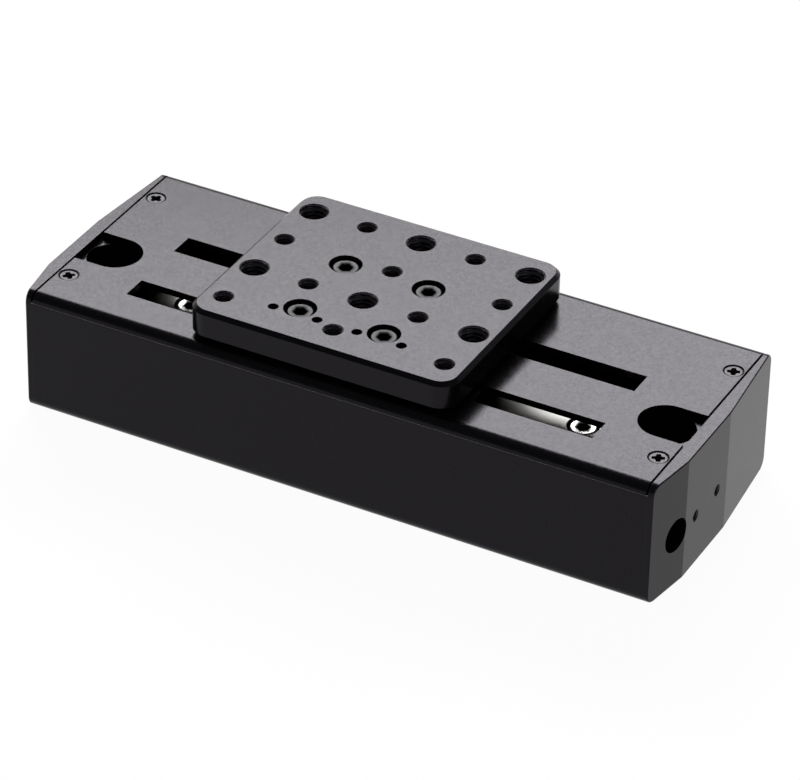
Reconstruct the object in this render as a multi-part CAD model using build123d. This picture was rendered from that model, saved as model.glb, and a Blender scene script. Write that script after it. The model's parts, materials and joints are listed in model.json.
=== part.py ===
from build123d import *
import os

# Motorised linear translation stage, 50 mm travel, in millimetres.
# Frame: X is the travel direction, Y points to the back, Z is up.
# Origin: centre of the base's bottom face.

# ---- driving dimensions -------------------------------------------------

# base casting, cover and end caps
base_width = 56.0
body_height = 27.8
wall = 3.0
floor_thickness = 4.0
cover_sheet = 1.5
cover_lip = 1.9
cover_lip_thickness = 1.6
cover_end_gap = 0.45
edge_radius = 2.4
bottom_radius = 1.5
trough_half_length = 56.2
end_wall = 13.35
mount_wall = 0.8
mount_slot = 1.0
base_pad = 7.0
base_relief = 0.4
wall_edge_break = 0.15
end_cap_middle = 3.05
end_cap_front_tip = 1.2
end_cap_rear_tip = 0.9
end_cap_front_facet_y = -15.8
end_cap_rear_facet_y = 3.6
drive_line_y = -5.5

# cover openings
slot_end_cover = 3.5
slot_width = 6.0
access_radius = 5.75
access_shift = 0.35
cover_screw_edge = 2.8
cover_screw_y = 17.5

# guide: rail, bearing block and its screws
rail_width = 14.0
rail_height = 5.2
rail_end_gap = 1.2
rail_hole_pitch = 30.0
rail_edge_break = 0.4
rail_groove_gap = 0.15
block_groove_gap = 0.05
rail_hole_count = 4
rail_counterbore = 6.8
rail_seat_depth = 3.2
bed_width = 16.0
block_width = 25.0
block_length = 32.0
shoulder_height = 1.2
block_bottom_gap = 1.9
block_height = 9.0
block_end_cap_length = 4.0
block_seal_thickness = 0.5
block_running_gap = 0.3
block_edge_break = 0.4
block_end_cap_inset = 0.3
block_seal_inset = 0.6
block_screw_depth = 4.5
block_screw_pitch = 19.0
ball_diameter = 1.5
ball_height = 3.2
ball_pitch = 3.2
balls_per_row = 9

# carriage
travel = 50.0
carriage_rest_x = -4.5
plate_length = 60.0
plate_width = 51.6
plate_thickness = 6.2
plate_gap = 1.0
plate_corner_radius = 4.4
plate_chamfer = 0.85
plate_bottom_chamfer = 0.35
hole_pitch = 12.5
large_thread = 6.0
small_thread = 4.0
thread_mouth = 0.15
pin_hole = 2.2
pin_hole_depth = 4.0
pin_hole_x = (4.5, 14.5)
pin_line_offset = 11.6
foot_width = 5.0
foot_length = 46.0
foot_corner = 1.0
plate_screw_recess = 0.65
plate_counterbore = 6.9

# slider bracket under the cover
bracket_thickness = 1.2
bracket_cover_gap = 0.5
bracket_wing_drop = 3.0
bracket_wing_gap = 0.3
bracket_wall_gap = 0.6
bracket_corner = 1.0

# linear motor
air_gap = 4.4
yoke_side_gap = 1.8
magnet_length = 7.0
magnet_web_gap = 1.7
magnet_pitch = 7.6
magnet_count = 6
yoke_leg = 2.4
yoke_web = 2.4
yoke_length = 46.0
yoke_bottom_gap = 0.7
yoke_screw_length = 5.4
yoke_screw_edge = 3.2
magnet_lift = 0.8
coil_thickness = 3.0
coil_blade_end = 5.0
coil_top_gap = 1.6
coil_count = 6
coil_end_margin = 2.0
coil_window = 2.7
coil_spacing = 1.0
coil_margin = 0.7
coil_corner = 2.2
coil_bar_end_gap = 1.2
coil_bar_width = 12.8
coil_bar_height = 3.5
coil_groove_depth = 1.5
coil_screw_pitch = 80.0
coil_screw_edge = 2.5
screw_rim = 0.2

# encoder and electronics
scale_edge = 1.05
scale_thickness = 0.4
scale_end = 1.0
head_length = 16.0
head_side_inset = 0.55
head_height = 6.4
head_gap = 0.6
head_post_length = 8.0
head_shelf = 2.0
head_foot_length = 20.0
head_foot_height = 2.4
head_foot_screw_x = 7.0
head_foot_gap = 0.3
head_window_length = 8.0
head_window_rim = 0.9
head_window_depth = 0.4
head_corner = 0.8
board_head_gap = 3.2
board_side_gap = 0.95
board_thickness = 1.2
board_standoff = 2.0
board_boss = 3.6
board_screw_edge = 3.0
board_screw_side = 2.4
board_screw_clear = 1.0
board_screw_head = (3.8, 1.2)
# chips, from the left: length, width, height
board_chip_sizes = ((7.0, 6.0, 1.4), (5.0, 5.0, 1.0), (3.0, 4.0, 0.9))
connector_length = 4.6
connector_side = 0.8
connector_height = 6.0
connector_wall = 1.0
connector_pins = 4
connector_pin = 0.6
connector_pin_pitch = 1.5
board_right_gap = 3.0
flex_board_edge = 2.2
flex_width = 4.0
flex_thickness = 0.3
flex_passage = (5.0, 3.0)

# rubber end stops, pushed into the end walls
bumper_diameter = 3.6
bumper_stem = 2.0
bumper_stem_length = 3.0
bumper_gap = 0.6
bumper_pad = 1.6

# openings in the end cap
cable_hole = 7.4
cable_hole_y = -19.0
cap_hole_z = 12.0
cap_thread = 2.6
cap_thread_depth = 1.0
cap_edge_break = 0.2
cap_hole_pitch = 10.0
cap_hole_offset = -0.5
tongue_length = 6.0
tongue_width = 12.0
tongue_thickness = 2.6
tongue_clearance = 0.1

# fasteners: head diameter, head height, shank diameter, hexagon across flats
M3_HEAD, M3_HEAD_HEIGHT, M3, M3_HEX = 5.5, 3.0, 3.0, 2.5
M3_CLEAR = 3.4
M2_HEAD, M2_HEAD_HEIGHT, M2 = 4.0, 1.1, 2.0
M2_LENGTH = 6.0
RECESS_LENGTH, RECESS_WIDTH, RECESS_DEPTH = 2.6, 0.7, 0.5
M6_CLEAR, M6_COUNTERBORE, M6_SEAT_Z = 6.6, 11.0, 8.0
M3_THREAD_DEPTH = 8.0
THREAD_SPARE = 1.0
FLOOR_SKIN = 0.8
HEAD_BREAK = 0.3

# ---- derived places -----------------------------------------------------

base_length = 2 * (trough_half_length + end_wall)
half_length = base_length / 2
half_width = base_width / 2
cover_under_z = body_height - cover_sheet
wall_top_z = body_height - cover_lip
trough_y = half_width - wall
mount_pitch = 2 * (trough_half_length + mount_wall) + M6_COUNTERBORE
slot_half_length = trough_half_length - slot_end_cover
cover_screw_x = half_length - cover_screw_edge
rail_length = 2 * (trough_half_length - rail_end_gap)
bracket_length = 2 * (trough_half_length - bumper_pad - bumper_gap) - travel
scale_length = bracket_length - 2 * scale_end
bracket_top_z = cover_under_z - bracket_cover_gap
block_top_z = bracket_top_z - bracket_thickness
rail_base_z = block_top_z - block_height
rail_top_z = rail_base_z + rail_height
block_bottom_z = rail_base_z + block_bottom_gap
plate_bottom_z = body_height + plate_gap
plate_top_z = plate_bottom_z + plate_thickness
slot_lines = (drive_line_y - block_screw_pitch / 2, drive_line_y + block_screw_pitch / 2)
bed_front_y = drive_line_y - bed_width / 2
bed_rear_y = drive_line_y + bed_width / 2
wing_front_y = drive_line_y - block_width / 2 - bracket_wing_gap
wing_rear_y = drive_line_y + block_width / 2 + bracket_wing_gap
wing_outer_y = trough_y - bracket_wall_gap
wing_bottom_z = block_top_z - bracket_wing_drop
web_bottom_z = wing_bottom_z - yoke_web
coil_bar_top_z = floor_thickness + coil_bar_height
coil_bar_length = 2 * (trough_half_length - coil_bar_end_gap)
coil_length = coil_bar_length - 2 * coil_blade_end
coil_pitch = (coil_length - 2 * coil_end_margin) / coil_count
coil_top_z = web_bottom_z - coil_top_gap
coil_height = coil_top_z - coil_bar_top_z - 2 * coil_margin
coil_band = (coil_height - coil_window) / 2
yoke_bottom_z = coil_bar_top_z + yoke_bottom_gap
magnet_height = web_bottom_z - magnet_web_gap - yoke_bottom_z - magnet_lift
block_rear_y = drive_line_y + block_width / 2
motor_y = (block_rear_y + trough_y) / 2
magnet_thickness = (trough_y - block_rear_y - air_gap) / 2 - yoke_side_gap - yoke_leg
coil_bottom_z = coil_bar_top_z - coil_groove_depth
board_width = bed_front_y + trough_y - 2 * board_side_gap
board_screw_offset = board_width / 2 - board_screw_side
connector_width = board_width - 2 * connector_side
board_right_x = trough_half_length - board_right_gap
flex_x = board_right_x - flex_board_edge
board_left_x = head_foot_length / 2 + board_head_gap
board_length = board_right_x - board_left_x
board_x = (board_left_x + board_right_x) / 2
board_y = (bed_front_y - trough_y) / 2
board_bottom_z = floor_thickness + board_standoff
board_top_z = board_bottom_z + board_thickness
scale_y = (wing_front_y - wing_outer_y) / 2
wing_width = wing_front_y + wing_outer_y
scale_width = wing_width - 2 * scale_edge
head_width = wing_width - 2 * head_side_inset
scale_bottom_z = wing_bottom_z - scale_thickness
head_top_z = scale_bottom_z - head_gap
head_bottom_z = head_top_z - head_height

UP = (Align.CENTER, Align.CENTER, Align.MIN)


# ---- small tools --------------------------------------------------------

def block_between(x, y, z):
    """A box given by its low and high place along each axis."""
    middle = [(low + high) / 2 for low, high in (x, y, z)]
    size = [high - low for low, high in (x, y, z)]
    return Pos(*middle) * Box(*size)


def rod(diameter, low_z, high_z, x=0.0, y=0.0):
    """An upright cylinder between two heights."""
    return Pos(x, y, low_z) * Cylinder(diameter / 2, high_z - low_z, align=UP)


def rod_x(diameter, low_x, high_x, y, z):
    """A cylinder along X between two places."""
    return Pos((low_x + high_x) / 2, y, z) * Rot(0, 90, 0) * Cylinder(diameter / 2, high_x - low_x)


def group(solids, name):
    """Separate solids that share one node."""
    return Compound(label=name, children=list(solids))


def cap_screw(x, y, head_top_z, grip):
    """M3 socket head cap screw, pointing down, with its hexagon socket."""
    seat_z = head_top_z - M3_HEAD_HEIGHT
    head = rod(M3_HEAD, seat_z, head_top_z, x, y)
    head = chamfer(head.edges().group_by(Axis.Z)[-1], HEAD_BREAK)
    socket = extrude(RegularPolygon(M3_HEX / 2, 6, major_radius=False), amount=-M3_HEAD_HEIGHT / 2)
    screw = head + rod(M3, seat_z - grip, seat_z, x, y)
    return screw - Pos(x, y, head_top_z) * socket


def flat_screw(x, y, top_z, length, upward=False):
    """M2 countersunk screw with a cross recess; its head is flush at top_z."""
    cone = Pos(0, 0, -M2_HEAD_HEIGHT) * Cone(M2 / 2, M2_HEAD / 2, M2_HEAD_HEIGHT, align=UP)
    screw = cone + rod(M2, -length, -M2_HEAD_HEIGHT)
    bar = Box(RECESS_LENGTH, RECESS_WIDTH, 2 * RECESS_DEPTH)
    screw -= bar + Rot(0, 0, 90) * bar
    turn = Rot(180, 0, 0) if upward else Rot(0, 0, 0)
    return Pos(x, y, top_z) * turn * screw


def flat_screw_hole(x, y, top_z, depth, rim=0.4, upward=False):
    """Countersunk hole for flat_screw; rim is the gap round the head."""
    mouth = M2_HEAD / 2 + rim / 2
    throat = M2 / 2 + rim / 2
    cone = Pos(0, 0, -M2_HEAD_HEIGHT) * Cone(throat, mouth, M2_HEAD_HEIGHT, align=UP)
    hole = cone + rod(2 * throat, -depth, -M2_HEAD_HEIGHT)
    turn = Rot(180, 0, 0) if upward else Rot(0, 0, 0)
    return Pos(x, y, top_z) * turn * hole


def thread_hole(x, y, top_z, diameter, depth):
    """Tapped hole at its major diameter, with a broken mouth."""
    hole = rod(diameter, top_z - depth, top_z, x, y)
    mouth = Pos(x, y, top_z - thread_mouth)
    return hole + mouth * Cone(diameter / 2, diameter / 2 + thread_mouth, thread_mouth, align=UP)


def four(pitch_x, pitch_y, centre_x=0.0, centre_y=0.0):
    """The four corners of a rectangular screw pattern."""
    return [
        (centre_x + sx * pitch_x / 2, centre_y + sy * pitch_y / 2)
        for sx in (-1, 1)
        for sy in (-1, 1)
    ]


# ---- fixed housing ------------------------------------------------------

def body_section(bottom):
    """Outline of the body across the travel: rounded long edges, in Y and Z."""
    with BuildSketch(Plane.YZ) as sketch:
        with Locations((0, body_height / 2)):
            Rectangle(base_width, body_height)
        corners = sketch.vertices().group_by(Axis.Z)
        fillet(corners[-1], edge_radius)
        fillet(corners[0], bottom)
    return sketch.sketch


def body_bar(low_x, high_x):
    """The body's outline run along X."""
    return Pos(low_x, 0, 0) * extrude(body_section(bottom_radius), amount=high_x - low_x)


def above_lid(z_seat, grow):
    """Everything over the lid's seat: the flat at z_seat and the two lips."""
    flat = block_between(
        (-half_length, half_length), (-half_width, half_width), (z_seat, body_height + grow)
    )
    lips = [
        block_between(
            (-half_length, half_length),
            (side * (half_width - cover_lip_thickness), side * half_width)[::side],
            (wall_top_z, body_height + grow),
        )
        for side in (-1, 1)
    ]
    return flat + lips


def access_opening(side):
    """U-shaped opening over a mounting hole, open to the cover's end."""
    x = side * (mount_pitch / 2 + access_shift)
    depth = (0, body_height + 1)
    reach = (x, side * (half_length + 1))[::side]
    run = block_between(reach, (drive_line_y - access_radius, drive_line_y + access_radius), depth)
    return run + rod(2 * access_radius, 0, body_height + 1, x, drive_line_y)


def mount_seat(side):
    """Screw seat over a mounting hole, drawn out a little toward the base's end."""
    inner = side * mount_pitch / 2
    outer = inner + side * mount_slot
    across = (drive_line_y - M6_COUNTERBORE / 2, drive_line_y + M6_COUNTERBORE / 2)
    seat = block_between((inner, outer)[::side], across, (M6_SEAT_Z, body_height))
    for x in (inner, outer):
        seat += rod(M6_COUNTERBORE, M6_SEAT_Z, body_height, x, drive_line_y)
    return seat


def tongue(side_x, side_y, clearance=0.0):
    """Foot of an end cap that lies in a pocket of the base."""
    inner = side_x * (half_length - tongue_length - clearance)
    outer = side_x * (half_length + (0 if clearance else 0.5))
    half = tongue_width / 2 + clearance
    y = side_y * cover_screw_y
    return block_between(
        tuple(sorted((inner, outer))), (y - half, y + half), (0, tongue_thickness + clearance)
    )


def tongue_screw_places():
    x = half_length - tongue_length / 2
    return four(2 * x, 2 * cover_screw_y)


def make_base():
    body = body_bar(-half_length, half_length) - above_lid(cover_under_z, 1)
    inside = (-trough_half_length, trough_half_length)
    body -= block_between(inside, (-trough_y, bed_front_y), (floor_thickness, body_height))
    body -= block_between(inside, (bed_rear_y, trough_y), (floor_thickness, body_height))
    body -= block_between(inside, (bed_front_y, bed_rear_y), (rail_base_z, body_height))
    shoulder_y = drive_line_y + rail_width / 2
    shoulder = (rail_base_z - 0.1, rail_base_z + shoulder_height)
    body += block_between(inside, (shoulder_y, bed_rear_y), shoulder)
    # passage for the coil's flat lead, under the rail bed
    body -= block_between(
        (flex_x - flex_passage[0] / 2, flex_x + flex_passage[0] / 2),
        (bed_front_y, bed_rear_y),
        (floor_thickness, floor_thickness + flex_passage[1]),
    )
    for side in (-1, 1):
        body -= rod(M6_CLEAR, 0, body_height, side * mount_pitch / 2, drive_line_y)
        body -= mount_seat(side)
        for side_y in (-1, 1):
            body -= tongue(side, side_y, tongue_clearance)
    for x, y in four(2 * cover_screw_x, 2 * cover_screw_y):
        body -= rod(M2, body_height - M2_LENGTH, cover_under_z, x, y)
    for x, y in tongue_screw_places():
        body -= rod(M2, 0, M2_LENGTH, x, y)
    for x in rail_hole_places():
        body -= rod(M3, rail_base_z - M3_THREAD_DEPTH, rail_base_z, x, drive_line_y)
    for x, y in coil_screw_places() + head_screw_places():
        body -= rod(M2, FLOOR_SKIN, floor_thickness, x, y)
    for x, y in board_screw_places():
        body += rod(board_boss, floor_thickness, board_bottom_z, x, y)
        body -= rod(M2, FLOOR_SKIN, board_bottom_z, x, y)
    body -= rod_x(cable_hole, trough_half_length - 1, half_length + 1, cable_hole_y, cap_hole_z)
    for y in cap_hole_lines():
        body -= rod_x(cap_thread, half_length - cap_thread_depth, half_length + 1, y, cap_hole_z)
    for side, y, z in bumper_places():
        x = side * trough_half_length
        body -= rod_x(bumper_stem, *sorted((x, x + side * bumper_stem_length)), y, z)
    relief = trough_half_length - base_pad, half_width - base_pad
    body -= Box(2 * relief[0], 2 * relief[1], 2 * base_relief)
    rims = body.edges().filter_by(Axis.X)
    outer = [
        edge
        for edge in rims
        if abs(edge.center().Z - wall_top_z) < 0.01 and abs(abs(edge.center().Y) - half_width) < 0.1
    ]
    return chamfer(outer, wall_edge_break)


def make_cover():
    length = half_length - cover_end_gap
    lid = body_bar(-length, length) & above_lid(cover_under_z, 1)
    slot = (-slot_half_length, slot_half_length)
    for y in slot_lines:
        lid -= block_between(slot, (y - slot_width / 2, y + slot_width / 2), (0, body_height + 1))
    for side in (-1, 1):
        lid -= access_opening(side)
    for x, y in four(2 * cover_screw_x, 2 * cover_screw_y):
        lid -= flat_screw_hole(x, y, body_height, M2_LENGTH)
    return lid


def cap_hole_lines():
    middle = drive_line_y + cap_hole_offset
    return (middle - cap_hole_pitch / 2, middle + cap_hole_pitch / 2)


def make_end_cap(side):
    """Cap with three upright facets: thick in the middle, thin at the corners."""
    outline = [
        (half_length, -half_width),
        (half_length + end_cap_front_tip, -half_width),
        (half_length + end_cap_middle, end_cap_front_facet_y),
        (half_length + end_cap_middle, end_cap_rear_facet_y),
        (half_length + end_cap_rear_tip, half_width),
        (half_length, half_width),
    ]
    plan = extrude(make_face(Polyline(outline, close=True)), amount=body_height)
    cap = plan & body_bar(half_length, half_length + end_cap_middle)
    faces = cap.faces().sort_by(Axis.Z)
    outer = [edge for edge in faces[-1].edges() if edge.center().X > half_length + 0.1]
    cap = chamfer(outer, cap_edge_break)
    if side > 0:
        cap -= rod_x(cable_hole, half_length - 1, half_length + 5, cable_hole_y, cap_hole_z)
        for y in cap_hole_lines():
            cap -= rod_x(cap_thread, half_length - 1, half_length + 5, y, cap_hole_z)
    else:
        cap = mirror(cap, Plane.YZ)
    for side_y in (-1, 1):
        cap += tongue(side, side_y)
    for x, y in tongue_screw_places():
        if x * side > 0:
            cap -= flat_screw_hole(x, y, 0, M2_LENGTH, upward=True)
    return cap


# ---- guide --------------------------------------------------------------

def rail_hole_places():
    first = -(rail_hole_count - 1) * rail_hole_pitch / 2
    return [first + i * rail_hole_pitch for i in range(rail_hole_count)]


def ball_lines():
    """Y of the two ball rows, on the rail's side faces."""
    offset = rail_width / 2 + block_running_gap / 2
    return (drive_line_y - offset, drive_line_y + offset)


def make_rail():
    half = rail_length / 2
    width = (drive_line_y - rail_width / 2, drive_line_y + rail_width / 2)
    rail = block_between((-half, half), width, (rail_base_z, rail_top_z))
    top_edges = rail.edges().filter_by(Axis.X).group_by(Axis.Z)[-1]
    rail = chamfer(top_edges, rail_edge_break)
    for y in ball_lines():
        groove = ball_diameter + 2 * rail_groove_gap
        rail -= rod_x(groove, -half, half, y, rail_base_z + ball_height)
    for x in rail_hole_places():
        rail -= rod(M3_CLEAR, rail_base_z, rail_top_z, x, drive_line_y)
        rail -= rod(rail_counterbore, rail_top_z - rail_seat_depth, rail_top_z, x, drive_line_y)
    return rail


def make_rail_screws():
    head_top = rail_top_z - rail_seat_depth + M3_HEAD_HEIGHT
    grip = rail_height - rail_seat_depth + M3_THREAD_DEPTH - THREAD_SPARE
    return group([cap_screw(x, drive_line_y, head_top, grip) for x in rail_hole_places()], "rail_screws")


def rail_channel(length, gap):
    """Space that the rail takes through the bearing, with a gap all round."""
    half = rail_width / 2 + gap
    top = rail_top_z + gap + 0.1
    x = (carriage_rest_x - length / 2, carriage_rest_x + length / 2)
    return block_between(x, (drive_line_y - half, drive_line_y + half), (0, top))


def bearing_bar(low, high, inset):
    """Length of the bearing's outer section; low and high are measured from its middle."""
    y = (drive_line_y - block_width / 2 + inset, drive_line_y + block_width / 2 - inset)
    x = (carriage_rest_x + low, carriage_rest_x + high)
    return block_between(x, y, (block_bottom_z + inset, block_top_z - inset))


def make_bearing_block():
    half = block_length / 2
    block = bearing_bar(-half, half, 0.0)
    block = chamfer(block.edges().filter_by(Axis.X), block_edge_break)
    block -= rail_channel(block_length, block_running_gap)
    for y in ball_lines():
        z = rail_base_z + ball_height
        groove = ball_diameter + 2 * block_groove_gap
        block -= rod_x(groove, carriage_rest_x - half, carriage_rest_x + half, y, z)
    for x, y in plate_screw_places():
        block -= rod(M3, block_top_z - block_screw_depth, block_top_z, x, y)
    return block


def make_bearing_end_cap(side):
    low = block_length / 2
    ends = sorted((side * low, side * (low + block_end_cap_length)))
    cap = bearing_bar(*ends, block_end_cap_inset)
    cap = chamfer(cap.edges().filter_by(Axis.X), 1.5 * block_edge_break)
    return cap - rail_channel(rail_length, block_running_gap)


def make_bearing_seal(side):
    low = block_length / 2 + block_end_cap_length
    ends = sorted((side * low, side * (low + block_seal_thickness)))
    seal = bearing_bar(*ends, block_seal_inset)
    return seal - rail_channel(rail_length, block_running_gap / 2)


def make_balls():
    first = carriage_rest_x - (balls_per_row - 1) * ball_pitch / 2
    return group(
        [
            Pos(first + i * ball_pitch, y, rail_base_z + ball_height) * Sphere(ball_diameter / 2)
            for y in ball_lines()
            for i in range(balls_per_row)
        ],
        "bearing_balls",
    )


# ---- carriage -----------------------------------------------------------

def plate_screw_places():
    return four(block_screw_pitch, block_screw_pitch, carriage_rest_x, drive_line_y)


def plate_thread_places():
    """Tapped holes of the carriage plate: (column, row, size), in half pitches of the grid."""
    rows = (1.5, 0.5, -0.5, -1.5)
    large = [(c, r) for r in (rows[0], rows[2]) for c in (-2, 0, 2)]
    small = [(c, r) for r in (rows[0], rows[2]) for c in (-1, 1)]
    small += [(c, r) for r in (rows[1], rows[3]) for c in (-2, 0, 2)]
    place = lambda c, r: (carriage_rest_x + c * hole_pitch, r * hole_pitch)
    return [(*place(c, r), large_thread) for c, r in large] + [
        (*place(c, r), small_thread) for c, r in small
    ]


def make_carriage_plate():
    plate = Pos(carriage_rest_x, 0, plate_bottom_z) * Box(
        plate_length, plate_width, plate_thickness, align=UP
    )
    plate = fillet(plate.edges().filter_by(Axis.Z), plate_corner_radius)
    plate = chamfer(plate.faces().sort_by(Axis.Z)[-1].edges(), plate_chamfer)
    plate = chamfer(plate.faces().sort_by(Axis.Z)[0].edges(), plate_bottom_chamfer)
    half = foot_length / 2
    for y in slot_lines:
        foot = block_between(
            (carriage_rest_x - half, carriage_rest_x + half),
            (y - foot_width / 2, y + foot_width / 2),
            (bracket_top_z, plate_bottom_z + plate_bottom_chamfer),
        )
        plate += fillet(foot.edges().filter_by(Axis.Z), foot_corner)
    for x, y, size in plate_thread_places():
        plate -= thread_hole(x, y, plate_top_z, size, plate_thickness)
    for x, y in plate_screw_places():
        plate -= rod(M3_CLEAR, 0, plate_top_z, x, y)
        seat_z = plate_top_z - plate_screw_recess - M3_HEAD_HEIGHT
        plate -= rod(plate_counterbore, seat_z, plate_top_z, x, y)
    for offset in pin_hole_x:
        for side in (-1, 1):
            x = carriage_rest_x + side * offset
            y = drive_line_y - pin_line_offset
            plate -= rod(pin_hole, plate_top_z - pin_hole_depth, plate_top_z, x, y)
    return plate


def make_plate_screws():
    head_top = plate_top_z - plate_screw_recess
    grip = head_top - M3_HEAD_HEIGHT - (block_top_z - block_screw_depth) - THREAD_SPARE / 2
    return group([cap_screw(x, y, head_top, grip) for x, y in plate_screw_places()], "plate_screws")


def make_slider_bracket():
    x = (carriage_rest_x - bracket_length / 2, carriage_rest_x + bracket_length / 2)
    bracket = block_between(x, (-wing_outer_y, wing_outer_y), (block_top_z, bracket_top_z))
    bracket += block_between(x, (wing_rear_y, wing_outer_y), (wing_bottom_z, bracket_top_z))
    bracket += block_between(x, (-wing_outer_y, wing_front_y), (wing_bottom_z, bracket_top_z))
    bracket = fillet(bracket.edges().filter_by(Axis.Z).group_by(Axis.Y)[0], bracket_corner)
    for px, py in plate_screw_places():
        bracket -= rod(M3_CLEAR, 0, body_height, px, py)
    for px, py in yoke_screw_places():
        bracket -= flat_screw_hole(px, py, bracket_top_z, body_height)
    return bracket


# ---- linear motor -------------------------------------------------------

def yoke_half_width():
    return air_gap / 2 + magnet_thickness + yoke_leg


def yoke_screw_places():
    edge = 2 * yoke_screw_edge
    return four(yoke_length - edge, 2 * yoke_half_width() - edge, carriage_rest_x, motor_y)


def make_yoke():
    x = (carriage_rest_x - yoke_length / 2, carriage_rest_x + yoke_length / 2)
    outer = yoke_half_width()
    inner = outer - yoke_leg
    yoke = block_between(x, (motor_y - outer, motor_y + outer), (yoke_bottom_z, wing_bottom_z))
    yoke -= block_between(x, (motor_y - inner, motor_y + inner), (0, web_bottom_z))
    for px, py in yoke_screw_places():
        yoke -= rod(M2, web_bottom_z, wing_bottom_z, px, py)
    return yoke


def make_magnets(side, name):
    inner = motor_y + side * air_gap / 2
    outer = inner + side * magnet_thickness
    first = carriage_rest_x - (magnet_count - 1) * magnet_pitch / 2
    depth = tuple(sorted((inner, outer)))
    low_z = yoke_bottom_z + magnet_lift
    magnet = block_between(
        (first - magnet_length / 2, first + magnet_length / 2), depth, (low_z, low_z + magnet_height)
    )
    return group([Pos(i * magnet_pitch, 0, 0) * magnet for i in range(magnet_count)], name)


def coil_ring(x):
    """One racetrack winding, standing on edge in the blade."""
    width = coil_pitch - coil_spacing
    middle_z = (coil_top_z + coil_bar_top_z) / 2
    outline = RectangleRounded(width, coil_height, coil_corner)
    outline -= RectangleRounded(width - 2 * coil_band, coil_window, coil_corner / 2)
    ring = extrude(outline, amount=coil_thickness / 2, both=True)
    return Pos(x, motor_y, middle_z) * Rot(90, 0, 0) * ring


def coil_places():
    first = -(coil_count - 1) * coil_pitch / 2
    return [first + i * coil_pitch for i in range(coil_count)]


def make_coil_windings():
    return group([coil_ring(x) for x in coil_places()], "coil_windings")


def make_coil_blade():
    half = coil_length / 2
    y = (motor_y - coil_thickness / 2, motor_y + coil_thickness / 2)
    blade = block_between((-half, half), y, (coil_bottom_z, coil_top_z))
    for x in coil_places():
        blade -= coil_ring(x)
    return blade


def coil_screw_places():
    """Four screws beside the blade, and one in each end of the bar."""
    sides = four(coil_screw_pitch, coil_bar_width - 2 * coil_screw_edge, 0.0, motor_y)
    end = (coil_bar_length + coil_length) / 4
    return sides + [(-end, motor_y), (end, motor_y)]


def make_coil_bar():
    half = coil_bar_length / 2
    y = (motor_y - coil_bar_width / 2, motor_y + coil_bar_width / 2)
    bar = block_between((-half, half), y, (floor_thickness, coil_bar_top_z))
    groove = coil_thickness / 2
    bar -= block_between(
        (-coil_length / 2, coil_length / 2),
        (motor_y - groove, motor_y + groove),
        (coil_bottom_z, coil_bar_top_z),
    )
    for x, y_place in coil_screw_places():
        bar -= flat_screw_hole(x, y_place, coil_bar_top_z, coil_bar_top_z, rim=screw_rim)
    return bar


def make_coil_bar_screws():
    length = coil_bar_top_z - THREAD_SPARE
    return group(
        [flat_screw(x, y, coil_bar_top_z, length) for x, y in coil_screw_places()], "coil_bar_screws"
    )


def make_flex_lead():
    """Flat lead from the coil to the board, under the rail bed."""
    x = (flex_x - flex_width / 2, flex_x + flex_width / 2)
    front_y = board_y + board_width / 2 - 2 * flex_thickness
    low = (floor_thickness, floor_thickness + flex_thickness)
    run = block_between(x, (front_y, motor_y - coil_bar_width / 2), low)
    rise = block_between(x, (front_y, front_y + flex_thickness), (floor_thickness, board_bottom_z))
    return run + rise


# ---- encoder and board --------------------------------------------------

def head_screw_places():
    return [(side * head_foot_screw_x, board_y) for side in (-1, 1)]


def make_scale():
    half = scale_length / 2
    x = (carriage_rest_x - half, carriage_rest_x + half)
    return block_between(
        x, (scale_y - scale_width / 2, scale_y + scale_width / 2), (scale_bottom_z, wing_bottom_z)
    )


def make_read_head():
    x = (-head_length / 2, head_length / 2)
    y = (scale_y - head_width / 2, scale_y + head_width / 2)
    head = block_between(x, y, (head_bottom_z, head_top_z))
    head = fillet(head.edges().filter_by(Axis.Z), head_corner)
    window = Box(head_window_length, head_width - 2 * head_window_rim, 2 * head_window_depth)
    return head - Pos(0, scale_y, head_top_z) * window


def make_head_bracket():
    """Foot on the floor, a post and a shelf under the read head."""
    y = (scale_y - head_width / 2, scale_y + head_width / 2)
    foot_y = (-trough_y + head_foot_gap, bed_front_y - head_foot_gap)
    half_post, half_shelf, half_foot = head_post_length / 2, head_length / 2, head_foot_length / 2
    foot_top_z = floor_thickness + head_foot_height
    bracket = block_between((-half_foot, half_foot), foot_y, (floor_thickness, foot_top_z))
    bracket += block_between((-half_post, half_post), y, (floor_thickness, head_bottom_z))
    bracket += block_between((-half_shelf, half_shelf), y, (head_bottom_z - head_shelf, head_bottom_z))
    for x, place_y in head_screw_places():
        bracket -= flat_screw_hole(x, place_y, foot_top_z, head_foot_height, rim=screw_rim)
    return bracket


def make_head_screws():
    top_z = floor_thickness + head_foot_height
    screws = [flat_screw(x, y, top_z, top_z - THREAD_SPARE) for x, y in head_screw_places()]
    return group(screws, "read_head_screws")


def board_screw_places():
    """One screw near each end; the right one stands clear of the connector."""
    left = board_x - board_length / 2 + board_screw_edge
    right = board_right_x - connector_length - board_screw_edge - board_screw_clear
    return [(left, board_y + board_screw_offset), (right, board_y - board_screw_offset)]


def make_board():
    y = (board_y - board_width / 2, board_y + board_width / 2)
    x = (board_x - board_length / 2, board_x + board_length / 2)
    board = block_between(x, y, (board_bottom_z, board_top_z))
    for px, py in board_screw_places():
        board -= rod(M2, board_bottom_z, board_top_z, px, py)
    return board


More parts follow.
